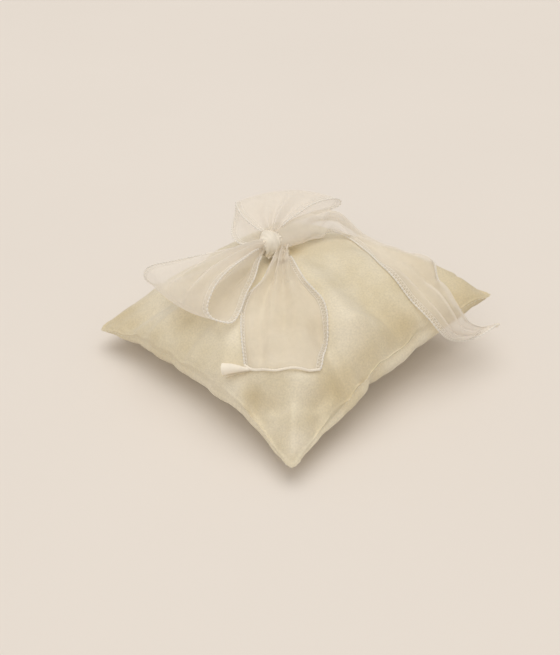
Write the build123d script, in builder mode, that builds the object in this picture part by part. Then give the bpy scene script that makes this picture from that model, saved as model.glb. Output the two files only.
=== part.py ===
"""Ring bearer pillow: a square stuffed cushion with a sheer ribbon bow tied on its crown.

Frame: millimetres, +Z up, origin in the middle of the flat patch that the cushion rests on.
The cushion's sides lie along X and Y. The front corner is (+X, -Y) and the right corner (+X, +Y).
The ribbon is one length, sewn down at the crown and tied: a knot, two loops and two tails.
"""

import os
from math import sqrt

from build123d import *

os.makedirs("parts", exist_ok=True)

# ---- Driving dimensions ----
corner_reach = 88.5  # a seam corner from the middle, along X and along Y
side_dip = 5.0  # how far each seam line bows in at its middle
seam_height = 22.0  # the seam above the surface that the cushion rests on
crown_rise = 45.1  # the crown above the seam, before its flat top patch
crown_share = 0.975  # where that patch cuts the crown
lean = 4.6  # degrees: the right corner stands higher than the left one
rest_half = 40.0  # half the side of the flat patch underneath
corner_round = 3.0
cloth = 0.6  # thickness of the cover's cloth
filling_gap = 0.3
allowance = 8.0  # width of the seam allowance turned inside
seam_line = 1.6  # the row of stitches from the seam's edge
thread = 0.4

ribbon_cloth = 0.8
ribbon_reach = 70.0  # half the width that a loop is cut from
selvage_width = 1.6
selvage_extra = 0.3  # the corded selvage stands this far above the cloth on each face
hem_depth = 4.0
run_on = 2.0
drape_gap = 1.0  # a tail lies this far above the cover

knot_x = -11.0
knot_y = -5.0
knot_z = 74.5
knot_radius = 7.5
knot_length = 11.0
throat_radius = 4.6
bunch_radius = 3.5  # the gathered root of each loop
base_thick = 2.6
base_middle = (-5.5, -0.5)
stitch_x = -0.2
stitch_starts = (-4.5, -1.3, 1.9)
stitch_run = 2.2
tack_radius = 0.35
tall = 140.0  # taller than the whole object

lean_axis = Axis((0, 0, 0), (1, -1, 0))


# ---- Shared shapes ----
def leaning_plane(rise, share=1.0, base=seam_height):
    """A plane over the middle of the cushion, leaning by a share of the cushion's lean."""
    angle = lean * share
    across = Vector(1, 0, 0).rotate(lean_axis, angle)
    upright = Vector(0, 0, 1).rotate(lean_axis, angle)
    return Plane(origin=Vector(0, 0, base) + upright * rise, x_dir=across, z_dir=upright)


def cushion_section(plane, half, corner, dip):
    """A square section with rounded corners, whose sides bow in by dip (or out, if negative)."""
    straight = half - corner
    mid = half - corner + corner / sqrt(2)
    with BuildSketch(plane) as section:
        with BuildLine():
            for turn in range(4):
                spin = 90 * turn
                ThreePointArc(
                    Vector(half, -straight).rotate(Axis.Z, spin),
                    Vector(half - dip, 0).rotate(Axis.Z, spin),
                    Vector(half, straight).rotate(Axis.Z, spin),
                )
                ThreePointArc(
                    Vector(half, straight).rotate(Axis.Z, spin),
                    Vector(mid, mid).rotate(Axis.Z, spin),
                    Vector(straight, half).rotate(Axis.Z, spin),
                )
        make_face()
    return section.sketch


def level(reach, share):
    """Half-width, corner radius and dip of the cushion's contour at a share of its rise."""
    half = reach * sqrt(1 - share**2)
    diagonal = reach * sqrt(1 - share)
    corner = max(corner_round, 0.94 * (half - diagonal) / (1 - 1 / sqrt(2)))
    return half, min(corner, 0.9 * half), side_dip * (1 - share) ** 6 - 0.4 * share


def crown_sections(grow):
    """Contours of the upper half from the seam to the crown, grown outwards by grow."""
    shares = (0.0, 0.12, 0.3, 0.52, 0.74, 0.9, crown_share)
    reach, rise = corner_reach + grow, crown_rise + grow
    return [cushion_section(leaning_plane(rise * s), *level(reach, s)) for s in shares]


def belly_sections(grow):
    """Contours of the lower half from the seam down to the flat patch it rests on."""
    reach, drop = corner_reach + grow, seam_height + grow
    steps = ((0.0, 0.0, 1.0), (0.3, 0.25, 0.8), (0.62, 0.5, 0.5), (0.86, 0.7, 0.2))
    sections = [
        cushion_section(leaning_plane(-drop * down, tilt), *level(reach, share))
        for down, share, tilt in steps
    ]
    patch = cushion_section(leaning_plane(-drop, 0), rest_half + grow, 0.55 * rest_half, -1.0)
    return sections + [patch]


def seam_ring(outer, inner, rise=0.0):
    """A flat ring near the seam plane, between two insets from the seam line."""
    half, corner, dip = level(corner_reach, 0)
    with BuildSketch(leaning_plane(rise)) as ring:
        add(cushion_section(Plane.XY, half - outer, corner, dip))
        add(cushion_section(Plane.XY, half - inner, corner, dip), mode=Mode.SUBTRACT)
    return ring.sketch


def plan_plane(x, y, heading):
    """A level plane at a point, with its X along a heading in degrees."""
    along = Vector(1, 0, 0).rotate(Axis.Z, heading)
    return Plane(origin=(x, y, 0), x_dir=along, z_dir=(0, 0, 1))


def side_plane(x, y, heading):
    """An upright plane at a point: its X runs along the heading and its Y is straight up."""
    along = Vector(1, 0, 0).rotate(Axis.Z, heading)
    return Plane(origin=(x, y, 0), x_dir=along, z_dir=along.cross(Vector(0, 0, 1)))


def edge_shifted(points, amount):
    """A line of points moved to its left by amount, and run on a little at both ends."""
    line = [Vector(*p) for p in points]
    ends = list(zip([line[0]] + line[:-1], line[1:] + [line[-1]]))
    ways = [(after - before).normalized() for before, after in ends]
    moved = [p + way.rotate(Axis.Z, 90) * amount for p, way in zip(line, ways)]
    return [moved[0] - ways[0] * run_on] + moved + [moved[-1] + ways[-1] * run_on]


def plan_outline(plane, right, left):
    """A ribbon's outline from above.

    Edges are (along, across) points from the root to the end, with across growing to the left.
    """
    with BuildSketch(plane) as outline:
        with BuildLine():
            Spline(*right)
            Spline(*left)
            Line(right[0], left[0])
            Line(right[-1], left[-1])
        make_face()
    return outline.sketch


def inner_outline(plane, right_edge, left_edge):
    """The outline without its selvages, slightly longer than the ribbon."""
    right = edge_shifted(right_edge, selvage_width)
    left = edge_shifted(left_edge, -selvage_width)
    return plan_outline(plane, right, left)


def selvage_outline(plane, right_edge, left_edge):
    """The two narrow strips along a ribbon's edges, from above."""
    with BuildSketch(plane) as strips:
        add(plan_outline(Plane.XY, right_edge, left_edge))
        add(inner_outline(Plane.XY, right_edge, left_edge), mode=Mode.SUBTRACT)
    return strips.sketch


def end_zone(plane, right_edge, left_edge):
    """The last few millimetres of a ribbon from above, wider than the ribbon."""
    right, left = Vector(*right_edge[-1]), Vector(*left_edge[-1])
    across = (left - right).normalized()
    back = across.rotate(Axis.Z, 90)
    right, left = right - across * 5 - back * 5, left + across * 5 - back * 5
    depth = back * (5 + hem_depth)
    with BuildSketch(plane) as zone:
        with BuildLine():
            Polyline(right, left, left + depth, right + depth, close=True)
        make_face()
    return zone.sketch


def cloth_under(clearance):
    """Everything under a cloth that lies on the upper cover with a clearance."""
    with BuildPart(mode=Mode.PRIVATE) as under:
        loft(crown_sections(clearance))
    return under.part


def drape(low, high):
    """A layer that follows the upper cover between two clearances."""
    with BuildPart(mode=Mode.PRIVATE) as layer:
        add(cloth_under(high))
        add(cloth_under(low), mode=Mode.SUBTRACT)
    return layer.part


def band_profile(plane, points, thick):
    """An open band of cloth in side view, along points."""
    mid = [Vector(*p) for p in points]
    ends = list(zip([mid[0]] + mid[:-1], mid[1:] + [mid[-1]]))
    normals = [(after - before).normalized().rotate(Axis.Z, 90) for before, after in ends]
    upper = [p + n * (thick / 2) for p, n in zip(mid, normals)]
    lower = [p - n * (thick / 2) for p, n in zip(mid, normals)]
    with BuildSketch(plane) as band:
        with BuildLine():
            Spline(*upper)
            Spline(*lower)
            Line(upper[0], lower[0])
            Line(upper[-1], lower[-1])
        make_face()
    return band.sketch


def loop_band(plane, points, extra):
    """A loop's cloth, much wider than the ribbon, thicker by extra on both faces.

    points run in side view from the root along the upper layer, round the fold and back.
    """
    with BuildPart(mode=Mode.PRIVATE) as band:
        profile = band_profile(plane, points, ribbon_cloth + 2 * extra)
        extrude(profile, amount=ribbon_reach, both=True)
    return band.part


# ---- Cushion ----
knot_plane = Plane(origin=(knot_x, knot_y, knot_z), x_dir=(1, 0, 0), z_dir=(0, 1, 0))
base_plane = leaning_plane(crown_rise * crown_share)
stitch_ends = [(stitch_x, y + run) for y in stitch_starts for run in (0, stitch_run)]


def tack_sketch(plane):
    """The holes that the tacking thread passes through."""
    with BuildSketch(plane) as holes:
        with Locations(*stitch_ends):
            Circle(tack_radius)
    return holes.sketch


with BuildPart() as top_panel:
    loft(crown_sections(0))
    loft(crown_sections(-cloth), mode=Mode.SUBTRACT)
    extrude(seam_ring(0.3, allowance), amount=cloth)
    extrude(tack_sketch(base_plane), amount=2, both=True, mode=Mode.SUBTRACT)

with BuildPart() as bottom_panel:
    loft(belly_sections(0))
    loft(belly_sections(-cloth), mode=Mode.SUBTRACT)
    extrude(seam_ring(0.3, allowance), amount=-cloth)

with BuildPart() as fibre_filling:
    loft(crown_sections(-cloth - filling_gap))
    loft(belly_sections(-cloth - filling_gap))
    groove = cloth + thread + filling_gap
    ring = seam_ring(-2, allowance + filling_gap)
    extrude(ring, amount=groove, both=True, mode=Mode.SUBTRACT)

with BuildPart() as seam_thread:
    for face_rise, run in ((cloth, thread), (-cloth, -thread)):
        extrude(seam_ring(seam_line + 2, seam_line + 2.4, face_rise), amount=run)

# ---- Knot ----
with BuildPart() as knot_band:
    with BuildSketch(knot_plane):
        Circle(knot_radius)
        Circle(throat_radius, mode=Mode.SUBTRACT)
    extrude(amount=knot_length / 2, both=True)
    fillet(knot_band.edges().filter_by(GeomType.CIRCLE), radius=1.2)

with BuildPart() as knot_core:
    with BuildSketch(knot_plane):
        Circle(throat_radius)
    extrude(amount=knot_length / 2 + 0.5, both=True)

with BuildPart() as ribbon_base:
    with BuildSketch(base_plane):
        with Locations(base_middle):
            Ellipse(8.5, 6.5)
    extrude(amount=base_thick)
    with BuildSketch(knot_plane):
        Circle(knot_radius)
    extrude(amount=knot_length, both=True, mode=Mode.SUBTRACT)
    extrude(tack_sketch(base_plane), amount=tall, mode=Mode.SUBTRACT)

leg_foot = -0.58  # just through the cover's cloth
leg_top = base_thick + tack_radius
with BuildPart(base_plane) as tack_stitches:
    for x, y in stitch_ends:
        with Locations((x, y, (leg_top + leg_foot) / 2)):
            Cylinder(tack_radius, leg_top - leg_foot)
        with Locations((x, y, leg_top)):
            Sphere(tack_radius)
    for y in stitch_starts:
        with Locations((stitch_x, y + stitch_run / 2, leg_top)):
            Cylinder(tack_radius, stitch_run, rotation=(90, 0, 0))

# The gathered start of the right tail: it leaves the back of the knot and thickens.
roll_stations = ((-11, 1.0, 73.5, 3.4), (-11.5, 17, 71.7, 4.4), (-8.5, 33, 71.0, 4.8))
with BuildPart() as right_tail_roll:
    for x, y, z, radius in roll_stations:
        with BuildSketch(Plane(origin=(x, y, z), x_dir=(1, 0, 0), z_dir=(0, 1, 0))):
            Circle(radius)
    loft()
    fillet(right_tail_roll.faces().sort_by(Axis.Y)[-1].edges(), radius=3)


# ---- Loops ----
def make_loop(at, height, heading, points, right_edge, left_edge):
    """A loop's cloth with its gathered root, and its two selvages."""
    root = Vector(*at, height)
    plan, side = plan_plane(*at, heading), side_plane(*at, heading)
    with BuildPart(mode=Mode.PRIVATE) as cloth_part:
        add(loop_band(side, points, 0))
        extrude(plan_outline(plan, right_edge, left_edge), amount=tall, mode=Mode.INTERSECT)
        extrude(inner_outline(plan, right_edge, left_edge), amount=tall, mode=Mode.INTERSECT)
        with Locations(root):
            Sphere(bunch_radius)
    with BuildPart(mode=Mode.PRIVATE) as edge_part:
        add(loop_band(side, points, selvage_extra))
        extrude(selvage_outline(plan, right_edge, left_edge), amount=tall, mode=Mode.INTERSECT)
        with Locations(root):
            Sphere(bunch_radius + 4, mode=Mode.SUBTRACT)
    return cloth_part, edge_part


left_upper = ((0, 75.6), (12, 78.0), (24, 77.6), (36, 73.6), (44, 69.0), (49, 66.2))
left_fold = ((53.4, 64.0), (55.3, 60.0), (53.4, 56.2), (49, 54.5))
left_lower = ((40, 58.8), (30, 64.2), (16, 70.2), (0, 73.4))
left_loop, left_loop_edges = make_loop(
    at=(-11, -14.5),
    height=knot_z,
    heading=-90,
    points=left_upper + left_fold + left_lower,
    right_edge=((-1, -3.5), (12, -9), (30, -20), (44, -35), (62, -48)),
    left_edge=((-1, 3.5), (12, 5), (30, 9), (44, 15), (62, 24)),
)
back_upper = ((0, 80.2), (12, 84.6), (24, 87.2), (34, 87.1))
back_fold = ((38.8, 85.5), (40.5, 82.0), (38.8, 78.4), (34, 77.0))
back_lower = ((24, 77.4), (12, 78.2), (0, 78.0))
back_loop, back_loop_edges = make_loop(
    at=(-16, 5),
    height=79.0,
    heading=133,
    points=back_upper + back_fold + back_lower,
    right_edge=((-1, -3.5), (10, -12), (24, -27), (45, -42)),
    left_edge=((-1, 3.5), (10, 10), (24, 23), (45, 33)),
)

# ---- Tails ----
cloth_low, cloth_high = drape_gap, drape_gap + ribbon_cloth
cloth_layer = drape(cloth_low, cloth_high)
bead_layer = drape(cloth_low - selvage_extra, cloth_high + selvage_extra)


def make_tail(plane, right_edge, left_edge, cloth_solid, bead_solid):
    """A tail's cloth, its two selvages and its hem, cut from layers of cloth."""
    outline = plan_outline(plane, right_edge, left_edge)
    inner = inner_outline(plane, right_edge, left_edge)
    strips = selvage_outline(plane, right_edge, left_edge)
    zone = end_zone(plane, right_edge, left_edge)
    with BuildPart(mode=Mode.PRIVATE) as cloth_part:
        add(cloth_solid)
        extrude(outline, amount=tall, mode=Mode.INTERSECT)
        extrude(inner, amount=tall, mode=Mode.INTERSECT)
        extrude(zone, amount=tall, mode=Mode.SUBTRACT)
    with BuildPart(mode=Mode.PRIVATE) as edge_part:
        add(bead_solid)
        extrude(strips, amount=tall, mode=Mode.INTERSECT)
    with BuildPart(mode=Mode.PRIVATE) as hem_part:
        add(bead_solid)
        extrude(outline, amount=tall, mode=Mode.INTERSECT)
        extrude(inner, amount=tall, mode=Mode.INTERSECT)
        extrude(zone, amount=tall, mode=Mode.INTERSECT)
    return cloth_part, edge_part, hem_part


front_tail, front_tail_edges, front_tail_hem = make_tail(
    plan_plane(-3, 1, -47),
    ((9, -4.5), (24, -10), (38, -18), (54, -24), (70, -26), (82, -26)),
    ((9, 4.5), (26, 12), (44, 22), (62, 26), (77, 25), (87, 22)),
    cloth_layer,
    bead_layer,
)

# Past the cushion's edge the right tail leaves the cover and curls outwards.
curl_line = (
    (80.2, 47.6),
    (82, 46.1),
    (84.2, 43.7),
    (87.2, 38.2),
    (91.5, 32.5),
    (97.5, 28.6),
    (105, 28.5),
)
curl_from = 83.0


def right_tail_layer(layer, extra):
    """The cloth of the right tail: over the cover as far as its edge, then on as a free curl."""
    with BuildPart(mode=Mode.PRIVATE) as whole:
        add(layer)
        with BuildSketch(Plane.YZ.offset(curl_from)):
            Rectangle(4 * tall, 4 * tall)
        extrude(amount=tall, mode=Mode.SUBTRACT)
        curl = band_profile(side_plane(0, 0, 0), curl_line, ribbon_cloth + 2 * extra)
        extrude(curl, amount=tall, both=True)
        add(cloth_under(drape_gap - extra), mode=Mode.SUBTRACT)
    return whole.part


right_tail, right_tail_edges, right_tail_hem = make_tail(
    plan_plane(0, 0, 0),
    ((-2, 32), (20, 34), (41, 34), (69, 31.5), (84, 33), (93, 42), (100, 54), (104, 66)),
    ((-2, 44), (10, 62), (28, 74), (48, 75), (66, 67), (80, 61), (91, 68), (97, 84)),
    right_tail_layer(cloth_layer, 0),
    right_tail_layer(bead_layer, selvage_extra),
)

# ---- Files ----
pieces = {
    "top_panel": top_panel,
    "bottom_panel": bottom_panel,
    "fibre_filling": fibre_filling,
    "seam_thread": seam_thread,
    "knot_band": knot_band,
    "knot_core": knot_core,
    "ribbon_base": ribbon_base,
    "tack_stitches": tack_stitches,
    "right_tail_roll": right_tail_roll,
    "left_loop": left_loop,
    "left_loop_edges": left_loop_edges,
    "back_loop": back_loop,
    "back_loop_edges": back_loop_edges,
    "front_tail": front_tail,
    "front_tail_edges": front_tail_edges,
    "front_tail_hem": front_tail_hem,
    "right_tail": right_tail,
    "right_tail_edges": right_tail_edges,
    "right_tail_hem": right_tail_hem,
}
for piece_name, piece in pieces.items():
    piece.part.label = piece_name
    export_step(piece.part, f"parts/{piece_name}.step")
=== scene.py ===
"""Ring bearer pillow: an ivory cushion with a sheer ribbon bow sewn to its crown.

Lengths below are in millimetres in the CAD frame, and become metres when a mesh is made.
"""

import math
from collections import namedtuple

import bpy
import numpy as np
from mathutils import Matrix, Vector


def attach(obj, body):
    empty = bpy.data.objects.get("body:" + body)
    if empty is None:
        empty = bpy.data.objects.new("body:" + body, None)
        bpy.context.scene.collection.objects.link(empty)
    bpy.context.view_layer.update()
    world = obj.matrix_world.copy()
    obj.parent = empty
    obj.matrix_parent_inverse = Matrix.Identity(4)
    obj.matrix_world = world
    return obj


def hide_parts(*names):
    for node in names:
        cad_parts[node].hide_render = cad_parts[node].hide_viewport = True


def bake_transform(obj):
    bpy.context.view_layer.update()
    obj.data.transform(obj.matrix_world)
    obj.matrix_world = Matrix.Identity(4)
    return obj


MM = 0.001
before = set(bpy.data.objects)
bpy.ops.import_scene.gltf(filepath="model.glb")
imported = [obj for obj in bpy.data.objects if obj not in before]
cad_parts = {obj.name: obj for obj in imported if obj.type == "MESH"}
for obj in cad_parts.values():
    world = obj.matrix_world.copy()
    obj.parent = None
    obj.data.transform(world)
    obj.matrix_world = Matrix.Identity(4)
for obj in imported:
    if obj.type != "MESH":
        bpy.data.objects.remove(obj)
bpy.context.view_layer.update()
scene = bpy.context.scene


def metres(point):
    """A point in millimetres, in metres."""
    return [c * MM for c in point]


# ---------------------------------------------------------------- camera, floor and light
# Angles are in degrees, distances in metres, and the lens and sensor in millimetres.
CAMERA_HEADING = 46.0
CAMERA_HEIGHT = 36.06
CAMERA_ROLL = -1.12
CAMERA_DISTANCE = 0.520
CAMERA_TARGET = Vector((0.00663, -0.01656, 0.025))
LENS = 45.7
SENSOR_WIDTH = 36
FLOOR_REACH = 3
WARM_WHITE = (1.0, 0.965, 0.92)


def add_camera():
    """A camera that looks down on the front corner."""
    heading, height = math.radians(CAMERA_HEADING), math.radians(CAMERA_HEIGHT)
    level = math.cos(height)
    forward = Vector((-math.sin(heading) * level, math.cos(heading) * level, -math.sin(height)))
    right = Vector((math.cos(heading), math.sin(heading), 0))
    up = right.cross(forward)
    roll = math.radians(CAMERA_ROLL)
    right, up = (
        right * math.cos(roll) + up * math.sin(roll),
        up * math.cos(roll) - right * math.sin(roll),
    )
    data = bpy.data.cameras.new("camera")
    data.lens = LENS
    data.sensor_width = SENSOR_WIDTH
    data.clip_start = 0.01
    camera = bpy.data.objects.new("camera", data)
    turn = Matrix((right, up, -forward)).transposed().to_4x4()
    camera.matrix_world = Matrix.Translation(CAMERA_TARGET - forward * CAMERA_DISTANCE) @ turn
    scene.collection.objects.link(camera)
    scene.camera = camera


def sun_light(name, toward, angle, strength, colour):
    """A soft distant light. toward points from the cushion to the light."""
    data = bpy.data.lights.new(name, "SUN")
    data.angle = math.radians(angle)
    data.energy = strength
    data.color = colour
    light = bpy.data.objects.new(name, data)
    light.rotation_euler = (-Vector(toward)).to_track_quat("-Z", "Y").to_euler()
    scene.collection.objects.link(light)


def add_floor():
    """The table top that the cushion rests on."""
    mesh = bpy.data.meshes.new("floor")
    corners = [(x * FLOOR_REACH, y * FLOOR_REACH, 0) for x, y in ((-1, -1), (1, -1), (1, 1), (-1, 1))]
    mesh.from_pydata(corners, [], [(0, 1, 2, 3)])
    floor = bpy.data.objects.new("floor", mesh)
    scene.collection.objects.link(floor)
    floor.data.materials.append(floor_material())


def add_light():
    """A pale warm surround, a broad light overhead and a weaker one from the front."""
    world = bpy.data.worlds.new("world")
    scene.world = world
    world.use_nodes = True
    background = world.node_tree.nodes["Background"]
    background.inputs["Color"].default_value = (1.0, 0.965, 0.915, 1)
    background.inputs["Strength"].default_value = 0.45
    sun_light("key", (-0.10, 0.14, 1.0), 60, 1.32, WARM_WHITE)
    sun_light("fill", (0.30, -0.50, 0.60), 50, 0.54, WARM_WHITE)
    scene.view_settings.view_transform = "Standard"


# ---------------------------------------------------------------- materials
def new_material(name):
    """An empty node material and its tree."""
    material = bpy.data.materials.new(name)
    material.use_nodes = True
    tree = material.node_tree
    tree.nodes.clear()
    return material, tree


def node(tree, kind, **inputs):
    """A shader node with some of its inputs set. An underscore in a name stands for a space."""
    made = tree.nodes.new(kind)
    for key, value in inputs.items():
        made.inputs[key.replace("_", " ")].default_value = value
    return made


def finish_material(tree, shader):
    """Join the last shader to the material's surface."""
    out = tree.nodes.new("ShaderNodeOutputMaterial")
    tree.links.new(shader.outputs[0], out.inputs["Surface"])


def weave_bump(tree, pitch, strength, distance):
    """A fine over-and-under weave with a few thicker threads, as a bump."""
    place = tree.nodes.new("ShaderNodeTexCoord")
    total = None
    for direction in ("X", "Y"):
        wave = node(tree, "ShaderNodeTexWave", Scale=0.314 / pitch, Distortion=0.8, Detail=1.0)
        wave.bands_direction = direction
        stretch = tree.nodes.new("ShaderNodeMapping")
        stretch.inputs["Scale"].default_value = (1, 0.06, 1) if direction == "X" else (0.06, 1, 1)
        slub = node(tree, "ShaderNodeTexNoise", Scale=1400, Detail=1.0)
        tree.links.new(place.outputs["Object"], wave.inputs["Vector"])
        tree.links.new(place.outputs["Object"], stretch.inputs["Vector"])
        tree.links.new(stretch.outputs["Vector"], slub.inputs["Vector"])
        for source in (wave, slub):
            if total is None:
                total = source.outputs["Fac"]
                continue
            add = tree.nodes.new("ShaderNodeMath")
            add.operation = "ADD"
            tree.links.new(total, add.inputs[0])
            tree.links.new(source.outputs["Fac"], add.inputs[1])
            total = add.outputs[0]
    bump = node(tree, "ShaderNodeBump", Strength=strength, Distance=distance)
    tree.links.new(total, bump.inputs["Height"])
    return bump, place


def mottled(tree, place, dark, light, scale, detail=4.0):
    """A colour that drifts softly between two tones."""
    noise = node(tree, "ShaderNodeTexNoise", Scale=scale, Detail=detail, Roughness=0.55)
    tree.links.new(place.outputs["Object"], noise.inputs["Vector"])
    ramp = tree.nodes.new("ShaderNodeValToRGB")
    ramp.color_ramp.elements[0].position = 0.3
    ramp.color_ramp.elements[1].position = 0.72
    ramp.color_ramp.elements[0].color = (*dark, 1)
    ramp.color_ramp.elements[1].color = (*light, 1)
    tree.links.new(noise.outputs["Fac"], ramp.inputs["Fac"])
    return ramp


# Painted shade and painted highlight: the colours that the cover's colour is drawn towards round some
# places.
PAINTED_SHADE = (0.60, 0.47, 0.24, 1)
PAINTED_HIGHLIGHT = (1.0, 0.925, 0.78, 1)
# Places on the cover, how far round them its colour differs, how strongly, and which way: painted
# shade, darker and browner, in valleys, in creases, under the bow and towards the corners, and painted
# highlights, paler, on ridge tops.
PAINTED_LIGHT_SPOTS = (
    ((81, 12, 48), 24, 0.75, PAINTED_SHADE),
    ((86, 76, 38), 36, 0.6, PAINTED_SHADE),
    ((83, -42, 37), 26, 0.8, PAINTED_SHADE),
    ((83, -18, 44), 24, 0.4, PAINTED_SHADE),
    ((83, -64, 27), 13, 0.4, PAINTED_SHADE),
    ((47, -79, 31), 12, 0.5, PAINTED_SHADE),
    ((58, -76, 31), 9, 0.25, PAINTED_SHADE),
    ((-76, -76, 24), 38, 0.5, PAINTED_SHADE),
    ((-22, -69, 42), 15, 0.35, PAINTED_SHADE),
    ((-4, 7, 65), 11, 0.6, PAINTED_SHADE),
    ((50, -14, 62), 18, 0.4, PAINTED_HIGHLIGHT),
    ((64, -18, 56), 20, 0.5, PAINTED_HIGHLIGHT),
    ((84, -80, 22), 10, 0.5, PAINTED_HIGHLIGHT),
)


def paint_light_spot(tree, place, colour, spot, size, depth, tint):
    """The colour, drawn towards a tint round one place on the cover: painted shade where the tint is
    dark, a painted highlight where it is pale.
    """
    away = tree.nodes.new("ShaderNodeVectorMath")
    away.operation = "DISTANCE"
    away.inputs[1].default_value = metres(spot)
    near = node(tree, "ShaderNodeMapRange", From_Min=0.0, From_Max=size * MM, To_Min=depth, To_Max=0.0)
    near.interpolation_type = "SMOOTHSTEP"
    mix = tree.nodes.new("ShaderNodeMix")
    mix.data_type = "RGBA"
    mix.inputs["B"].default_value = tint
    tree.links.new(place.outputs["Object"], away.inputs[0])
    tree.links.new(away.outputs["Value"], near.inputs["Value"])
    tree.links.new(near.outputs["Result"], mix.inputs["Factor"])
    tree.links.new(colour, mix.inputs["A"])
    return mix.outputs["Result"]


def cover_material():
    """Woven satin in ivory, with painted shade in its valleys and under the bow, painted highlights on
    ridges, a fine grain and a soft sheen.
    """
    material, tree = new_material("ivory_cover")
    bump, place = weave_bump(tree, 0.0005, 0.40, 0.0003)
    colour = mottled(tree, place, (0.75, 0.65, 0.445), (0.91, 0.835, 0.675), 24)
    colour = colour.outputs["Color"]
    # Painted shade and painted highlights, one place after another.
    for spot in PAINTED_LIGHT_SPOTS:
        colour = paint_light_spot(tree, place, colour, *spot)
    speckle = node(tree, "ShaderNodeTexNoise", Scale=900, Detail=2.0)
    shade = node(tree, "ShaderNodeMapRange", From_Min=0.3, From_Max=0.7, To_Min=0.93, To_Max=1.06)
    grain = tree.nodes.new("ShaderNodeVectorMath")
    grain.operation = "SCALE"
    tree.links.new(place.outputs["Object"], speckle.inputs["Vector"])
    tree.links.new(speckle.outputs["Fac"], shade.inputs["Value"])
    tree.links.new(colour, grain.inputs[0])
    tree.links.new(shade.outputs["Result"], grain.inputs["Scale"])
    colour = grain.outputs["Vector"]
    shader = node(tree, "ShaderNodeBsdfPrincipled", Roughness=0.45, IOR=1.45)
    shader.inputs["Sheen Weight"].default_value = 0.3
    shader.inputs["Sheen Roughness"].default_value = 0.4
    tree.links.new(colour, shader.inputs["Base Color"])
    tree.links.new(bump.outputs["Normal"], shader.inputs["Normal"])
    finish_material(tree, shader)
    return material


def organza_material(name, thin, dense, tint=(0.99, 0.945, 0.88), glow=0.44):
    """Sheer cloth that lets light through, and hides more where it is seen at a slant."""
    material, tree = new_material(name)
    place = tree.nodes.new("ShaderNodeTexCoord")
    front = node(tree, "ShaderNodeBsdfDiffuse", Color=(*tint, 1))
    through_cloth = node(tree, "ShaderNodeBsdfTranslucent", Color=(*tint, 1))
    cloth = node(tree, "ShaderNodeMixShader", Fac=glow)
    tree.links.new(front.outputs[0], cloth.inputs[1])
    tree.links.new(through_cloth.outputs[0], cloth.inputs[2])
    slant = node(tree, "ShaderNodeLayerWeight", Blend=0.35)
    cover = node(tree, "ShaderNodeMapRange", To_Min=thin, To_Max=dense)
    tree.links.new(slant.outputs["Facing"], cover.inputs["Value"])
    streaks = node(tree, "ShaderNodeTexNoise", Scale=160, Detail=3.0, Roughness=0.6)
    tree.links.new(place.outputs["Object"], streaks.inputs["Vector"])
    drift = node(tree, "ShaderNodeMapRange", To_Min=0.88, To_Max=1.12)
    tree.links.new(streaks.outputs["Fac"], drift.inputs["Value"])
    share = tree.nodes.new("ShaderNodeMath")
    share.operation = "MULTIPLY"
    share.use_clamp = True
    tree.links.new(cover.outputs["Result"], share.inputs[0])
    tree.links.new(drift.outputs["Result"], share.inputs[1])
    clear = tree.nodes.new("ShaderNodeBsdfTransparent")
    both = tree.nodes.new("ShaderNodeMixShader")
    tree.links.new(share.outputs[0], both.inputs["Fac"])
    tree.links.new(clear.outputs[0], both.inputs[1])
    tree.links.new(cloth.outputs[0], both.inputs[2])
    finish_material(tree, both)
    return material


def thread_material(name, dark, light, roughness=0.55):
    """Fine fibre whose colour drifts from strand to strand."""
    material, tree = new_material(name)
    place = tree.nodes.new("ShaderNodeTexCoord")
    colour = mottled(tree, place, dark, light, 420, 2.0)
    shader = node(tree, "ShaderNodeBsdfPrincipled", Roughness=roughness)
    shader.inputs["Sheen Weight"].default_value = 0.3
    tree.links.new(colour.outputs["Color"], shader.inputs["Base Color"])
    finish_material(tree, shader)
    return material


def floor_material():
    """Matt, pale and slightly uneven in tone."""
    material, tree = new_material("pale_floor")
    place = tree.nodes.new("ShaderNodeTexCoord")
    colour = mottled(tree, place, (0.80, 0.745, 0.69), (0.815, 0.76, 0.705), 3)
    shader = node(tree, "ShaderNodeBsdfPrincipled", Roughness=0.85)
    shader.inputs["Specular IOR Level"].default_value = 0.2
    tree.links.new(colour.outputs["Color"], shader.inputs["Base Color"])
    finish_material(tree, shader)
    return material


# ---------------------------------------------------------------- mesh helpers
def make_mesh(name, points, faces, material, body=None):
    """A mesh object from points in millimetres."""
    mesh = bpy.data.meshes.new(name)
    mesh.from_pydata((np.asarray(points) * MM).tolist(), [], faces)
    mesh.update()
    mesh.polygons.foreach_set("use_smooth", [True] * len(mesh.polygons))
    made = bpy.data.objects.new(name, mesh)
    made.data.materials.append(material)
    scene.collection.objects.link(made)
    if body:
        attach(made, body)
    return made


def grid_faces(rows, columns, closed=False, start=0):
    """Quads over a grid of points stored row by row. closed joins the last column to the first."""
    faces = []
    last = columns if closed else columns - 1
    for i in range(rows - 1):
        for j in range(last):
            k = (j + 1) % columns
            a, b = start + i * columns, start + (i + 1) * columns
            faces.append((a + j, a + k, b + k, b + j))
    return faces


def through(points, count):
    """A smooth line through the points, one station for each, sampled evenly by station."""
    p = np.asarray(points, float)
    p = np.vstack([2 * p[0] - p[1], p, 2 * p[-1] - p[-2]])
    t = np.linspace(0, len(p) - 3, count)
    i = np.minimum(t.astype(int), len(p) - 4)
    f = (t - i)[:, None]
    a, b, c, d = p[i], p[i + 1], p[i + 2], p[i + 3]
    return 0.5 * (
        2 * b + (c - a) * f + (2 * a - 5 * b + 4 * c - d) * f**2 + (3 * b - a - 3 * c + d) * f**3
    )


def unit(v):
    """Vectors along the last axis, at length one."""
    return v / np.maximum(np.linalg.norm(v, axis=-1, keepdims=True), 1e-9)


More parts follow.
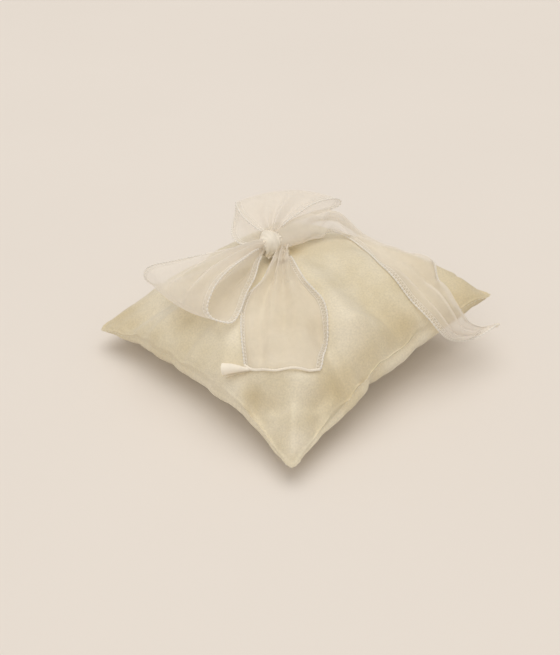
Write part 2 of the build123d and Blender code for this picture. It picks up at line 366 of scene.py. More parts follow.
# ---------------------------------------------------------------- cushion
HALF = 88.0
SEAM_MIDDLE = 24  # height of the seam's plane under the crown
CROWN = 66.0
TILT = 10.0  # the back right corner stands this much above the middle, the front left one below
BELLY = 27.0  # depth of the underside below the seam's plane, if nothing pressed on it
PRESSED = 3  # below this height the underside flattens out towards the table
SIDE_DIP = 4.6  # how far the middle of each side is drawn in
TIP_RADIUS = 9.0  # rounding of the corners in plan
GRID = 161  # points along each side of a panel
GATHERS = 20  # along each side
SWELLS = 9  # waves that cross the whole cloth
FILLING_INSET = 8  # steps of the grid
CLEAR_REACH = 84  # ribbon nearer the middle than this is kept above the cushion
FOLD_END = 0.1  # share of a fold's length over which its end fades

# Heights of the seam along each side, from one corner to the next.
SEAM_LEFT_FRONT = (
    (-88, 13), (-66, 18.2), (-48, 23), (0, 24), (34, 25), (53, 22.5), (70, 14.5), (88, 12),
)
SEAM_RIGHT_FRONT = (
    (-88, 12), (-66, 18.4), (-42, 24), (-27, 29.5), (-17, 35),
    (4, 33), (16, 37), (35, 39.5), (56, 38), (88, 37.5),
)
SEAM_LEFT_BACK = ((-88, 13), (-60, 21), (0, 24), (55, 22), (88, 18))
SEAM_RIGHT_BACK = ((-88, 18), (-55, 23), (0, 28), (50, 33), (70, 36), (88, 37))


def seam_line(table, at, seed):
    """The seam's height along one side, smoothed, with the small waves of a gathered seam."""
    x, z = np.array(table, float).T
    fine = np.linspace(-HALF, HALF, int(2 * HALF) + 1)
    height = np.interp(fine, x, z)
    kernel = np.exp(-0.5 * (np.arange(-14, 15) / 5.0) ** 2)
    kernel /= kernel.sum()
    wide = np.pad(height, 14, mode="reflect", reflect_type="odd")
    smooth = np.convolve(wide, kernel, mode="valid")
    local = np.random.default_rng(seed)
    for wavelength, size in ((29, 0.5), (17, 0.45), (11, 0.25)):
        smooth = smooth + size * np.sin(2 * math.pi * fine / wavelength + local.uniform(0, 6.3)) * (
            1 - (fine / HALF) ** 6
        )
    return np.interp(at * HALF, fine, smooth)


def seam_height(u, v):
    """Height of the seam where the ray from the middle through (u, v) meets the border."""
    m = np.maximum(np.maximum(abs(u), abs(v)), 1e-6)
    a, b = u / m, v / m
    along_y = np.where(a > 0, seam_line(SEAM_RIGHT_FRONT, b, 1), seam_line(SEAM_LEFT_BACK, b, 2))
    along_x = np.where(b > 0, seam_line(SEAM_RIGHT_BACK, a, 3), seam_line(SEAM_LEFT_FRONT, a, 4))
    return np.where(abs(u) >= abs(v), along_y, along_x), m


def plan_place(u, v):
    """Where a point of the flat panel lies in plan once the cushion is stuffed."""
    x = HALF * u
    y = HALF * v
    start = HALF - TIP_RADIUS
    a = np.clip((abs(x) - start) / TIP_RADIUS, 0, 1)
    b = np.clip((abs(y) - start) / TIP_RADIUS, 0, 1)
    x = np.where(a > 0, np.sign(x) * (start + TIP_RADIUS * a * np.sqrt(1 - b * b / 2)), x)
    y = np.where(b > 0, np.sign(y) * (start + TIP_RADIUS * b * np.sqrt(1 - a * a / 2)), y)
    tip = np.where(u > 0, np.where(v > 0, 3.6, 2.7), np.where(v > 0, 2.0, 2.2)) * (u * v) ** 6
    x = x + np.sign(u) * tip
    y = y + np.sign(v) * tip
    ripple = 0.35 * np.sin(9 * v + 1) + 0.25 * np.sin(21 * v + 2)
    x = x - (SIDE_DIP * (1 - v**2) + ripple) * u * abs(u) ** 3 * (1 - v**8)
    ripple = 0.35 * np.sin(10 * u + 2) + 0.25 * np.sin(19 * u)
    y = y - (SIDE_DIP * (1 - u**2) + ripple) * v * abs(v) ** 3 * (1 - u**8)
    return x, y


def dome(u, v, power=0.55, soft=0.010):
    """A full crown, 1 in the middle and 0 all along the seam."""
    s = np.clip((1 - u**2) * (1 - v**2), 0, 1)
    return ((s + soft) ** power - soft**power) / ((1 + soft) ** power - soft**power)


def fold(x, y, start, end, width, height):
    """A long soft ridge (or a valley) over the plan, from start to end."""
    start, end = np.array(start, float), np.array(end, float)
    along = end - start
    length = np.linalg.norm(along)
    along /= length
    dx, dy = x - start[0], y - start[1]
    t = dx * along[0] + dy * along[1]
    off = -dx * along[1] + dy * along[0]
    fade = FOLD_END * length
    ends = 1 / (1 + np.exp(-t / fade)) / (1 + np.exp((t - length) / fade))
    return height * ends * np.exp(-((off / width) ** 2))


# Each fold is (start, end, width, height), and a negative height is a valley.
FOLDS = (
    ((72, -71), (93, -92), 4.6, 5.6),
    ((42, -76), (76, -89), 4.4, -6.6),
    ((82, -56), (91, -80), 3.6, -4.6),
    ((74, -54), (86, -66), 4.6, -3.8),
    ((30, -64), (70, -36), 9.0, 3.6),
    ((42, -74), (72, -56), 6.0, 6.4),
    ((45, -81), (68, -72), 3.4, -5.2),
    ((74, -66), (78, -48), 3.6, -4.2),
    ((52, -32), (92, -40), 6.2, -7.0),
    ((74, -26), (92, -22), 3.6, -4.4),
    ((8, -3), (50, -12), 8.0, 3.6),
    ((44, -12), (70, -14), 9.0, 5.2),
    ((58, -28), (74, 2), 6.0, 4.2),
    ((81, -30), (82, 8), 4.6, -4.4),
    ((54, 5), (92, 15), 6.4, -4.8),
    ((14, 12), (52, 10), 8.0, -2.2),
    ((56, 20), (80, 24), 6.0, 2.6),
    ((22, 33), (66, 31), 8.0, 3.4),
    ((60, 38), (90, 42), 6.5, 2.4),
    ((66, 58), (92, 66), 4.0, -3.0),
    ((42, -54), (58, -62), 4.4, 2.4),
    ((12, -60), (28, -90), 5.0, 3.0),
    ((-6, -58), (-12, -92), 4.6, -3.8),
    ((-26, -56), (-44, -92), 5.0, 3.0),
    ((-42, -56), (-70, -88), 4.4, -3.8),
    ((-54, -46), (-88, -80), 4.8, 2.4),
    ((-50, -10), (-92, -14), 9.0, -2.6),
    ((-44, 30), (-84, 70), 6.0, 2.6),
    ((-14, 46), (-22, 92), 8.0, -2.2),
    ((22, 50), (30, 92), 8.0, 1.8),
    ((34, 66), (84, 85), 10.0, 6.0),
)


def puckers(u, v, seed, reach, height):
    """Small gathers that run in from the seam and die out."""
    total = np.zeros_like(u)
    local = np.random.default_rng(seed)
    for side in range(4):
        across, along = ((u, v), (-u, v), (v, u), (-v, u))[side]
        inward = np.clip(1 - across, 0, 2)
        for _ in range(GATHERS):
            at = local.uniform(-0.95, 0.95)
            width = local.uniform(0.014, 0.035)
            slant = local.uniform(-0.4, 0.4)
            size = local.uniform(-1, 1)
            run = reach * local.uniform(0.5, 1.5)
            rise = np.clip(inward / 0.03, 0, 1)
            spread = width * (1 + 5 * inward)
            shape = np.exp(-(((along - at - slant * inward) / spread) ** 2))
            total += height * size * rise * np.exp(-inward / run) * shape
    return total


def rumple(x, y, seed, height):
    """Slow uneven swells over the whole cloth."""
    local = np.random.default_rng(seed)
    total = np.zeros_like(x)
    for _ in range(SWELLS):
        way = local.uniform(0, math.pi)
        wavelength = local.uniform(22, 55)
        phase = 2 * math.pi * (x * math.cos(way) + y * math.sin(way)) / wavelength
        total += np.sin(phase + local.uniform(0, 6.3) + 0.8 * np.sin(0.05 * (x - y)))
    return height * total / 3


def edge_distance(u, v):
    """How far in from the seam a point of a panel lies, measured on the flat cloth."""
    return HALF * (1 - np.maximum(abs(u), abs(v)))


def top_height(u, v):
    """Height of the top panel: a tilted crown with folds, puckers and a groove by the seam."""
    x, y = plan_place(u, v)
    seam, m = seam_height(u, v)
    tilt = (x + y) / (2 * HALF) * TILT
    sag = seam - (SEAM_MIDDLE + tilt / m)
    z = SEAM_MIDDLE + tilt + sag * m**7 + (CROWN - SEAM_MIDDLE) * dome(u, v)
    inside = np.clip(dome(u, v) * 6, 0, 1)
    for start, end, width, height in FOLDS:
        z = z + fold(x, y, start, end, width, height) * inside
    z = z + puckers(u, v, 3, 0.10, 1.2) + rumple(x, y, 11, 0.45) * inside
    d = edge_distance(u, v)
    welt = 0.3 * np.exp(-(((d - 0.8) / 0.5) ** 2))
    groove = 0.7 * np.exp(-(((d - 2.4) / 0.9) ** 2))
    z = z + welt - groove
    tacked_down = 1.2 * np.exp(-((x + 7) ** 2 + (y + 3) ** 2) / 120)
    return z - tacked_down


def surface_below(x, y):
    """Height of the cushion's top under places in plan."""
    u, v = x / HALF, y / HALF
    for _ in range(4):
        at_x, at_y = plan_place(u, v)
        u = np.clip(u + (x - at_x) / HALF, -1, 1)
        v = np.clip(v + (y - at_y) / HALF, -1, 1)
    return top_height(u, v)


def kept_clear(p, gap=0.3):
    """Points that would sink into the cushion's top, raised to just above it."""
    inside = np.maximum(abs(p[..., 0]), abs(p[..., 1])) < CLEAR_REACH
    least = surface_below(p[..., 0], p[..., 1]) + gap
    clear = p.copy()
    clear[..., 2] = np.where(inside, np.maximum(p[..., 2], least), p[..., 2])
    return clear


def laid_down(p, gap, start, end, fade=0.08):
    """Ribbon points let down on to the cushion between two shares of the ribbon's length."""
    s = np.linspace(0, 1, len(p))
    share = np.clip((s - start) / fade, 0, 1) * np.clip((end - s) / fade, 0, 1)
    share = (share**2 * (3 - 2 * share))[:, None]
    laid = p.copy()
    laid[..., 2] += share * (surface_below(p[..., 0], p[..., 1]) + gap - p[..., 2])
    return laid


def bottom_height(u, v):
    """Height of the bottom panel: a shallow belly, pressed flat where it meets the table."""
    seam, m = seam_height(u, v)
    z = SEAM_MIDDLE + (seam - SEAM_MIDDLE) * m**5 - BELLY * dome(u, v, 0.5, 0.006)
    z = z + puckers(u, v, 5, 0.07, 1.0)
    return np.where(z < PRESSED, PRESSED * np.exp((z - PRESSED) / PRESSED), z)


def side_shift(u, v, size):
    """A shift straight out of the nearest side, fading to none at the corners."""
    gap = abs(abs(u) - abs(v))
    size = size * (1 - np.exp(-((gap / 0.10) ** 2)))
    on_x = abs(u) > abs(v)
    return np.where(on_x, np.sign(u) * size, 0), np.where(on_x, 0, np.sign(v) * size)


def bottom_bulge(u, v):
    """How far the bottom panel swells out past the seam."""
    d = edge_distance(u, v)
    y = HALF * v
    tuck = 1 - np.exp(-(((y + 19) / 4.0) ** 2))
    full = 1.6 + 2.0 * (u > abs(v)) * tuck * np.exp(-(((y + 2) / 62) ** 6))
    full = full - 1.5 * (u > abs(v)) * (1 - tuck)
    return full * (d / 3.2) * np.exp(1 - d / 3.2)


def seam_pinch(u, v):
    """How far the seam itself is drawn in by its stitches."""
    return -1.1 * np.exp(-((edge_distance(u, v) / 0.9) ** 2))


def cushion_points():
    """Points of the top and bottom panels, which share their border."""
    t = np.linspace(-1, 1, GRID)
    t = t + 0.14 * np.sin(math.pi * t)  # closer together by the seam
    v, u = np.meshgrid(t, t, indexing="ij")
    x, y = plan_place(u, v)
    top_x, top_y = side_shift(u, v, seam_pinch(u, v))
    low_x, low_y = side_shift(u, v, bottom_bulge(u, v) + seam_pinch(u, v))
    top = np.stack([x + top_x, y + top_y, top_height(u, v)], -1)
    bottom = np.stack([x + low_x, y + low_y, bottom_height(u, v)], -1)
    seam, _ = seam_height(u, v)
    border = np.maximum(abs(u), abs(v)) > 0.9999
    for panel in (top, bottom):
        panel[..., 2][border] = seam[border]
    return top, bottom


def filling_points(top, bottom):
    """Two coarser panels that stay inside the cover and close on each other at the rim."""
    inset = slice(FILLING_INSET, -FILLING_INSET, 2)
    upper, lower = top[inset, inset], bottom[inset, inset]
    middle = 0.5 * (upper + lower)
    steps = np.arange(len(middle))
    step = np.minimum(steps, steps[::-1])
    from_rim = np.minimum(step[:, None], step[None, :])
    room = (np.clip(from_rim / 6, 0, 1) * 0.90)[..., None]
    return middle + (upper - middle) * room, middle + (lower - middle) * room


# ---------------------------------------------------------------- ribbon
RIBBON = 63.0  # width
ALONG = 220  # rows and columns of each ribbon's mesh
ACROSS = 60
CONTROL_COLUMNS = 9  # points across the coarse shape of a ribbon
SELVAGE_WIDTH = 3.1  # from the corded rim to the thread inside it
STITCH_PITCH = 2.2
CORD = 0.50  # radius of the corded rim
BEAD = 0.20  # how much the rim swells at each stitch
FINE_THREAD = 0.14  # radius


def three_point_rows(stations, columns):
    """Cross-sections of a ribbon, each a smooth arc through a station's three points."""
    data = np.asarray(stations, float)
    v = np.linspace(0, 1, columns)[None, :, None]
    first, middle, last = 2 * (v - 0.5) * (v - 1), -4 * v * (v - 1), 2 * v * (v - 0.5)
    return data[:, 0:1] * first + data[:, 1:2] * middle + data[:, 2:3] * last


def smooth_grid(control, rows=ALONG, columns=ACROSS):
    """A fine grid through a coarse one."""
    long = np.stack([through(control[:, j], rows) for j in range(control.shape[1])], 1)
    return np.stack([through(long[i], columns) for i in range(rows)], 0)


def pleated(p, pleats, strength, seed, lift=0.0, calm_end=0.0, most=3.2):
    """The surface with soft pleats where it is drawn in narrower than the ribbon."""
    rows, columns = p.shape[:2]
    across = np.gradient(p, axis=1)
    along = np.gradient(p, axis=0)
    normal = unit(np.cross(along, across))
    width = np.linalg.norm(np.diff(p, axis=1), axis=-1).sum(1)
    spare = np.sqrt(np.clip((RIBBON / width) ** 2 - 1, 0, None))
    u = np.linspace(0, 1, rows)[:, None]
    strength = np.interp(u[:, 0], (0.5, 0.8), strength)
    size = np.clip(width / (math.pi * pleats) * spare * strength, 0, most)[:, None]
    v = np.linspace(0, 1, columns)[None, :]
    size = size * (1 - calm_end * np.clip((u - 0.8) / 0.2, 0, 1) ** 2)
    local = np.random.default_rng(seed)
    wander = 0.5 * np.sin(local.uniform(2, 4) * u + local.uniform(0, 6))
    phase = 2 * math.pi * pleats * (v + 0.05 * np.sin(5 * v + local.uniform(0, 6))) + wander
    wave = np.sin(phase) + 0.35 * np.sin(0.57 * phase + local.uniform(0, 6))
    window = np.clip(np.sin(math.pi * v), 0, 1) ** 0.5
    return p + normal * (size * (wave + lift) * window)[..., None], normal


def resample(path, spacing, *others):
    """The path, and lines that go with it, at an even spacing."""
    step = np.linalg.norm(np.diff(path, axis=0), axis=1)
    s = np.concatenate([[0], np.cumsum(step)])
    at = np.arange(0, s[-1], spacing)
    out = []
    for line in (path, *others):
        out.append(np.stack([np.interp(at, s, line[:, k]) for k in range(3)], -1))
    return at, out


def tube(path, sides, radius, normal):
    """Rings round a path. normal gives each ring its top."""
    direction = unit(np.gradient(path, axis=0))
    across = unit(np.cross(direction, normal))
    up = np.cross(across, direction)
    angle = np.linspace(0, 2 * math.pi, sides, endpoint=False)[None, :, None]
    ring = across[:, None] * np.cos(angle) + up[:, None] * np.sin(angle)
    return path[:, None] + ring * np.broadcast_to(radius, len(path))[:, None, None]


def capped(points, start=0):
    """Faces of a tube of rings, with its ends closed."""
    rows, columns = points.shape[:2]
    faces = grid_faces(rows, columns, closed=True, start=start)
    faces.append(tuple(start + j for j in reversed(range(columns))))
    faces.append(tuple(start + (rows - 1) * columns + j for j in range(columns)))
    return faces


def join_tubes(tubes):
    """Points and faces of several closed tubes as one mesh."""
    points, faces, count = [], [], 0
    for t in tubes:
        faces += capped(t, count)
        points.append(t.reshape(-1, 3))
        count += len(points[-1])
    return np.concatenate(points), faces


def line_inside(rows, distance):
    """The line that runs at a distance in from the first column of the rows."""
    reach = np.linalg.norm(np.diff(rows, axis=1), axis=-1).cumsum(1)
    reach = np.hstack([np.zeros((len(rows), 1)), reach])
    line = []
    for row, far in zip(rows, reach):
        at = min(distance, 0.4 * far[-1])
        line.append([np.interp(at, far, row[:, k]) for k in range(3)])
    return np.array(line)


def selvages(points, normal, first, last):
    """The overlocked edges: a corded rim, a thread inside it, and a zigzag between them."""
    tubes = []
    a, b = int(first * len(points)), int(last * len(points))
    columns = points.shape[1]
    for side in (0, 1):
        order = np.arange(columns) if side == 0 else np.arange(columns)[::-1]
        rows = points[a:b, order]
        at, (rim, inner, n) = resample(
            rows[:, 0], 0.3, line_inside(rows, SELVAGE_WIDTH), normal[a:b, order[2]]
        )
        n = unit(n)
        phase = 2 * math.pi * at / STITCH_PITCH
        tubes.append(tube(rim, 6, CORD + BEAD * np.cos(phase), n))
        tubes.append(tube(inner, 5, FINE_THREAD, n))
        swing = 0.5 - 0.5 * np.cos(phase)
        zigzag = rim + (inner - rim) * (0.08 + 0.86 * swing)[:, None]
        tubes.append(tube(zigzag, 5, FINE_THREAD, n))
    return join_tubes(tubes)


def seam_stitches(panel):
    """A row of short stitches all round the border of a panel."""
    ring = [panel[0, :-1], panel[:-1, -1], panel[-1, :0:-1], panel[:0:-1, 0], panel[:1, 0]]
    _, (path,) = resample(np.concatenate(ring), 0.6)
    up = np.zeros_like(path)
    up[:, 2] = 1
    tubes = []
    step = 5
    for i in range(0, len(path) - step, step):
        part = slice(i, i + step - 1)
        tubes.append(tube(path[part], 6, np.array([0.14, 0.26, 0.26, 0.14]), up[part]))
    return join_tubes(tubes)


def hem_tube(line, normal, radius):
    """A narrow rolled hem along a ribbon's end, with small stitches."""
    at, (path, n) = resample(line, 0.4, normal)
    size = np.interp(at / at[-1], np.linspace(0, 1, len(radius)), radius)
    size = size * (1 + 0.07 * np.cos(2 * math.pi * at / 1.6))
    return tube(path, 10, size, unit(n))


def curl(path, radius, turns, start_angle, rows=60, columns=70):
    """A corner of cloth that has curled up on itself, as an open scroll along a path."""
    line = through(path, rows)
    size = np.interp(np.linspace(0, 1, rows), np.linspace(0, 1, len(radius)), radius)
    direction = unit(np.gradient(line, axis=0))
    side = unit(np.cross(direction, np.array([0, 0, 1.0])))
    up = np.cross(side, direction)
    v = np.linspace(0, 1, columns)
    angle = (start_angle + 2 * math.pi * turns * v)[None, :, None]
    spread = (1 - 0.45 * v)[None, :, None] * size[:, None, None]
    return line[:, None] + spread * (side[:, None] * np.cos(angle) + up[:, None] * np.sin(angle))


# Stations are (one selvage, middle, other selvage).
LEFT_LOOP = (
    ((-12.5, -12, 75.0), (-11, -12.5, 76.0), (-9.5, -12, 75.0)),
    ((-13, -19, 77.5), (-10.5, -21, 78.5), (-7.5, -22, 77.5)),
    ((-16.5, -28, 78), (-11.5, -32, 79), (-5, -33, 78)),
    ((-22, -38, 77.5), (-13.5, -43, 78), (-4, -44, 77)),
    ((-30, -47, 75.5), (-17, -52, 75.5), (-4, -52, 74)),
    ((-40, -54, 71.5), (-20.5, -60, 71.5), (-3, -59, 70.5)),
    ((-49, -58.5, 67.5), (-23.5, -66.5, 66.5), (-1, -65, 66)),
    ((-57, -62.5, 64), (-25, -70.5, 61), (0, -67.5, 62)),
    ((-61.5, -65, 59.5), (-25, -71.2, 57), (2, -68, 58.5)),
    ((-61, -66.5, 55), (-24, -70, 53), (6, -66.5, 56)),
    ((-55.5, -64.5, 51.8), (-20.5, -64, 52.6), (13, -60.5, 55)),
    ((-47, -57, 54), (-18.5, -55, 57), (10.5, -51.5, 58)),
    ((-37, -46, 59), (-16.5, -44, 62), (5.5, -42, 62.5)),
    ((-27, -34, 65), (-14, -33, 66.5), (1, -31, 66.5)),
    ((-18, -22, 70), (-12, -22, 70.8), (-5, -21.5, 70.5)),
    ((-13.5, -12, 73), (-11.5, -12, 73), (-9.5, -12, 73)),
)
BACK_LOOP = (
    ((-14.5, -5, 77.5), (-13.5, -2, 79), (-12, 0, 78)),
    ((-22, -6, 79.5), (-19, 4, 82), (-13, 9, 81.5)),
    ((-31, -5, 80.5), (-25, 13, 85), (-13, 21, 83.8)),
    ((-41, -2, 80.5), (-30, 22, 87), (-13, 33, 85.2)),
    ((-51, 3.5, 80), (-34.5, 30, 87.3), (-11.5, 44.5, 84.8)),
    ((-58, 8.5, 79.3), (-37.5, 35.5, 85.5), (-9.8, 52.5, 82.8)),
    ((-61, 11, 77), (-39, 37.5, 82), (-8.5, 54.8, 80.5)),
    ((-58, 8, 74.5), (-37, 34.5, 77.5), (-9.5, 53, 77.5)),
    ((-53, 2, 73), (-33.5, 27, 75), (-14.5, 44.5, 75)),
    ((-47, -5, 72), (-31, 18, 73.5), (-19.5, 34, 73.5)),
    ((-40, -11.5, 70.5), (-28, 9, 73), (-21, 23, 73.5)),
    ((-30, -14.5, 70), (-24, 1, 73), (-20.5, 11, 74.5)),
    ((-17, -11, 72), (-17, -4, 74), (-15.5, 0, 75.5)),
)
FRONT_TAIL = (
    ((-5.5, -2.5, 67.4), (-4, -1, 68.5), (-2.5, 0.5, 67.6)),
    ((-3, -9, 68.5), (1, -7, 70), (5, -3.5, 69)),
    ((0.5, -16, 68.5), (7, -13.5, 70), (13, -8, 69.3)),
    ((3, -24, 66.5), (13, -19.5, 68.2), (23.5, -13, 68.2)),
    ((4, -31.5, 64), (18.5, -25.5, 66), (33.5, -15.5, 66)),
    ((4, -38, 61), (24, -31.5, 63), (42.5, -17.5, 63)),
    ((6.5, -45, 58.5), (30.5, -38.5, 60), (50, -21.5, 60)),
    ((10.5, -51, 56), (37, -46, 57.5), (55.5, -26.5, 55.5)),
    ((17, -57.5, 53.5), (44, -53, 55.5), (59.5, -31, 50.5)),
    ((24, -63.5, 50), (49, -59, 52.5), (63.5, -38, 47.5)),
    ((30.5, -68.5, 46), (53, -63.5, 50), (67.5, -43.5, 45.5)),
    ((35, -71.8, 42.5), (55.5, -67, 48), (69.5, -47, 44.5)),
)
ROLL = (  # axis point, radius and how far round the ribbon goes, in degrees
    ((-12.4, -2.0, 73.2), 4.4, 450),
    ((-12.8, 1, 72.9), 5.9, 450),
    ((-12.3, 8, 72.6), 6.5, 440),
    ((-11.4, 15, 72.5), 6.9, 420),
    ((-11.3, 22, 72.3), 7.1, 390),
    ((-11.0, 28, 72.0), 7.3, 340),
    ((-10.2, 33, 71.8), 7.6, 265),
)
RIGHT_TAIL = (
    ((-4.2, 38.0, 66.4), (-6.5, 40.5, 79.0), (-15.5, 43, 69.0)),
    ((-0.5, 42.8, 65.8), (-1.5, 47, 75.5), (-11, 56, 65)),
    ((5.5, 45.8, 65.6), (5, 53, 72.2), (-3, 68, 58)),
    ((14, 44.5, 65.6), (14, 56, 68.0), (7, 80.5, 45)),
    ((28, 39.5, 66), (27, 58, 65), (21, 84.5, 39)),
    ((42, 34, 65), (41, 55, 63), (36, 84, 41)),
    ((57.5, 30.5, 62), (55, 51, 60), (51, 77, 49)),
    ((70.5, 29.5, 57), (67.5, 47.5, 58), (63, 66, 53)),
    ((81.3, 30, 49), (78.5, 45, 52), (73, 59.5, 50.5)),
    ((89.5, 33, 39.5), (87.5, 45, 44), (83, 54.5, 46)),
    ((91.5, 40, 31), (91, 48.5, 35.5), (88.5, 57, 39.5)),
    ((94, 46.5, 26.5), (93.5, 53.5, 30), (91, 60, 33)),
    ((98, 55, 24.5), (96.5, 60, 26.5), (94, 65, 28.5)),
    ((101.5, 63.5, 25.5), (99.5, 68, 24.5), (97, 73, 24)),
    ((104.5, 74, 29), (102.5, 78.5, 25), (100.4, 84.5, 22)),
)


def right_tail_rows(columns=14):
    """The right tail: rolled up where it leaves the knot, then opening out flat."""
    v = np.linspace(0, 1, columns)
    axis = np.array([a for a, _, _ in ROLL], float)
    along = unit(np.gradient(axis, axis=0))
    side = unit(np.cross(along, np.array([0, 0, 1.0])))
    up = np.cross(side, along)
    rows = []
    for k, (_, radius, degrees) in enumerate(ROLL):
        angle = math.radians(-62) + math.radians(degrees) * v
        r = (radius * (1 - 0.22 * v) * (1 + 0.05 * np.sin(3 * angle + 0.7 * k)))[:, None]
        ring = side[k] * np.cos(angle)[:, None] + up[k] * np.sin(angle)[:, None]
        rows.append(axis[k] + r * ring)
    return np.concatenate([np.array(rows), three_point_rows(RIGHT_TAIL, columns)])


def knot_points(rows=64, columns=140):
    """The wrap of the knot: a crumpled band of ribbon, pulled round an axis along Y."""
    centre = np.array([-12.0, -6.8, 73.4])
    s = np.linspace(-1, 1, rows)[:, None]
    turn = np.linspace(0, 2 * math.pi, columns, endpoint=False)[None, :]
    body = 6.3 * (1 - 0.36 * np.abs(s) ** 2.6)
    lean = 0.55 * np.sin(turn + 0.3) + 0.18 * np.sin(2 * turn + 1.1)
    ridge = 0.75 * np.sin(2.6 * s + 3.2 * lean + 0.6) + 0.35 * np.sin(7.5 * s - 2.4 * lean + 2.2)
    ridge = ridge + 0.18 * np.sin(15 * s + 2 * lean)
    lump = 0.5 * np.sin(2 * turn + 2.4) + 0.3 * np.sin(3 * turn + 2 * s) + 0.4 * s * np.sin(turn)
    r = body + ridge * (1 - s**4) + lump
    y = 5.4 * s * (1 + 0.15 * np.sin(turn + 0.5)) + 1.1 * np.sin(turn - 0.4)
    p = np.stack([r * np.cos(turn), np.broadcast_to(y, r.shape), 1.14 * r * np.sin(turn)], -1)
    return p + centre


def core_points(rows=40, columns=120):
    """The gathered ribbon inside the knot, opening a little at both ends."""
    centre = np.array([-11.8, -6.0, 74.4])
    s = np.linspace(-1, 1, rows)[:, None]
    turn = np.linspace(0, 2 * math.pi, columns, endpoint=False)[None, :]
    r = 2.8 + 0.8 * np.abs(s) ** 3 + (0.25 + 0.2 * s**2) * np.sin(9 * turn + 1.5 * s)
    y = 7.0 * s + 0 * turn
    p = np.stack([r * np.cos(turn), y, 0.95 * r * np.sin(turn)], -1)
    return p + centre


def ruffle_points(rows=26, columns=240):
    """The gathered middle of the ribbon, pressed on the crown, with a frilled rim."""
    centre = np.array([-7.5, -5.0, 66.6])
    s = np.linspace(0, 1, rows)[:, None]
    turn = np.linspace(0, 2 * math.pi, columns, endpoint=False)[None, :]
    reach_x = 8.6 + 0.5 * np.sin(3 * turn + 1)
    reach_y = 6.6 + 0.4 * np.sin(2 * turn)
    frill = 1.2 * s**2 * np.sin(13 * turn + 1.2 * np.sin(2 * turn)) + 0.3 * s * np.sin(29 * turn)
    z = 0.9 + frill + 0.7 * s - 0.2 * s**2
    out = s * (1 + 0.05 * np.sin(13 * turn))
    p = np.stack([out * reach_x * np.cos(turn), out * reach_y * np.sin(turn), z + 0 * turn], -1)
    return p + centre


# ---------------------------------------------------------------- ribbon pieces
# nodes are the CAD pieces that the ribbon stands for, fade is where its lift begins and is whole,
# flat is in metres, and free is the stretch with open edges, as shares of its length.
Ribbon = namedtuple("Ribbon", "name rows pleats strength lift seed nodes fade flat free")
RIBBONS = (
    Ribbon(
        name="left_loop",
        rows=three_point_rows(LEFT_LOOP, CONTROL_COLUMNS),
        pleats=3,
        strength=(0.50, 0.50),
        lift=0,
        seed=9,
        nodes=("left_loop",),
        fade=((-11, -12, 75), (-11, -24, 75)),
        flat=(0.063, 0.139),
        free=(0.05, 0.96),
    ),
    Ribbon(
        name="back_loop",
        rows=three_point_rows(BACK_LOOP, CONTROL_COLUMNS),
        pleats=2.6,
        strength=(0.36, 0.36),
        lift=0,
        seed=9,
        nodes=("back_loop",),
        fade=((-15, 3, 78), (-25, 14, 78)),
        flat=(0.063, 0.102),
        free=(0.06, 0.95),
    ),
    Ribbon(
        name="front_tail",
        rows=three_point_rows(FRONT_TAIL, CONTROL_COLUMNS),
        pleats=3,
        strength=(0.50, 0.50),
        lift=0.7,
        seed=10,
        nodes=("front_tail",),
        fade=((0, -3, 68), (12, -16, 68)),
        flat=(0.063, 0.093),
        free=(0.06, 1.0),
    ),
    Ribbon(
        name="right_tail",
        rows=right_tail_rows(),
        pleats=2.6,
        strength=(0.26, 0.60),
        lift=0.7,
        seed=10,
        nodes=("right_tail", "right_tail_roll"),
        fade=((-4, 40, 68), (10, 40, 68)),
        flat=(0.063, 0.200),
        free=(0.21, 1.0),
    ),
)
# How high above the cushion a tail is laid, and between which shares of its length.
LAID = {"right_tail": (1.0, 0.37, 0.74), "front_tail": (1.4, 0.25, 1.2)}
# Radii along each hem.
HEMS = {"front_tail": (0.9, 0.7, 0.7, 0.8), "right_tail": (0.7, 0.7, 0.7)}
# The front tail's end has curled up on itself past its left edge.
FRONT_CURL = ((40, -72.5, 42.4), (35.5, -75, 41.6), (31, -78.2, 41), (27, -81.2, 40))
FRONT_CURL_RADII = (0.9, 2.2, 3.8, 4.6)


def add_hem(name, end, normal):
    """The rolled hem on a tail's end, with the curled corner that the front one has."""
    hem = hem_tube(end, normal, HEMS[name])
    points, faces = hem.reshape(-1, 3), capped(hem)
    if name == "front_tail":
        scroll = curl(FRONT_CURL, FRONT_CURL_RADII, turns=1.3, start_angle=-2.4)
        faces += grid_faces(*scroll.shape[:2], start=len(points))
        points = np.concatenate([points, scroll.reshape(-1, 3)])
    piece = make_mesh(f"{name}_rolled_hem", points, faces, ORGANZA_DENSE)
    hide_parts(f"{name}_hem")
    return piece


def add_ribbon(ribbon):
    """One loop or tail: its cloth, its two selvages and, on a tail, its hem."""
    name = ribbon.name
    is_tail = name in HEMS
    p = smooth_grid(ribbon.rows)
    if name in LAID:
        p = laid_down(p, *LAID[name])
    calm_end = 0.8 if is_tail else 0
    p, normal = pleated(p, ribbon.pleats, ribbon.strength, ribbon.seed, ribbon.lift, calm_end)
    p = kept_clear(p)
    cloth = make_mesh(f"{name}_cloth", p.reshape(-1, 3), grid_faces(*p.shape[:2]), ORGANZA)
    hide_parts(*ribbon.nodes)
    points, faces = selvages(p, normal, *ribbon.free)
    edge = make_mesh(f"{name}_selvages", points, faces, SELVAGE)
    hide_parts(f"{name}_edges")
    pieces = [cloth, edge]
    if is_tail:
        pieces.append(add_hem(name, p[-1], normal[-1]))
    for piece in pieces:
        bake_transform(piece)


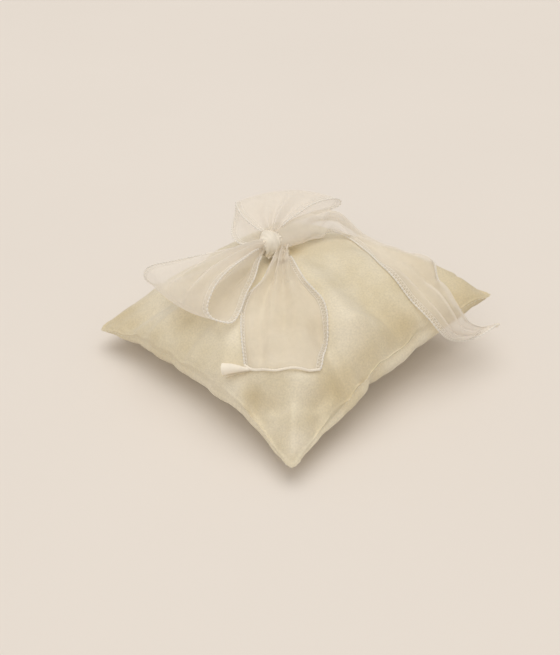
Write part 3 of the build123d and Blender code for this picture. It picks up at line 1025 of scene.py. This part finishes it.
def add_gathers(name, rings, faces, node_name):
    """A padded piece of gathered ribbon at the bow's middle."""
    piece = make_mesh(name, rings.reshape(-1, 3), faces, ORGANZA_DENSE, "pillow")
    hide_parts(node_name)


# ---------------------------------------------------------------- build
add_camera()
add_floor()
add_light()

COVER = cover_material()
ORGANZA = organza_material("organza", 0.43, 0.62)
ORGANZA_DENSE = organza_material("organza_gathered", 0.88, 0.99, (1.0, 0.94, 0.83), 0.12)
SELVAGE = organza_material("selvage_thread", 0.72, 0.95, (0.99, 0.965, 0.92), 0.25)
THREAD = thread_material("sewing_thread", (0.72, 0.65, 0.50), (0.84, 0.77, 0.62))
FILLING = thread_material("fibre", (0.82, 0.82, 0.80), (0.92, 0.92, 0.90), 0.9)

top, bottom = cushion_points()
faces = grid_faces(GRID, GRID)
flipped = [f[::-1] for f in faces]
cover_top = make_mesh("cover_top", top.reshape(-1, 3), faces, COVER, "pillow")
cover_bottom = make_mesh("cover_bottom", bottom.reshape(-1, 3), flipped, COVER, "pillow")
for piece, old in ((cover_top, "top_panel"), (cover_bottom, "bottom_panel")):
    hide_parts(old)

upper, lower = filling_points(top, bottom)
m = len(upper)
points = np.concatenate([upper.reshape(-1, 3), lower.reshape(-1, 3)])
faces = grid_faces(m, m) + [f[::-1] for f in grid_faces(m, m, start=m * m)]
filling = make_mesh("filling", points, faces, FILLING, "pillow")
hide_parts("fibre_filling")

points, faces = seam_stitches(top)
stitches = make_mesh("seam_stitches", points, faces, THREAD, "pillow")
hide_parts("seam_thread")

for ribbon in RIBBONS:
    add_ribbon(ribbon)

wrap = knot_points()
add_gathers("knot_wrap", wrap, grid_faces(*wrap.shape[:2], closed=True), "knot_band")
core = core_points()
add_gathers("knot_core_gathers", core, capped(core), "knot_core")
base = ruffle_points()
add_gathers("ribbon_base_gathers", base, grid_faces(*base.shape[:2], closed=True), "ribbon_base")

tack_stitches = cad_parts["tack_stitches"]
tack_stitches.data.materials.clear()
tack_stitches.data.materials.append(THREAD)
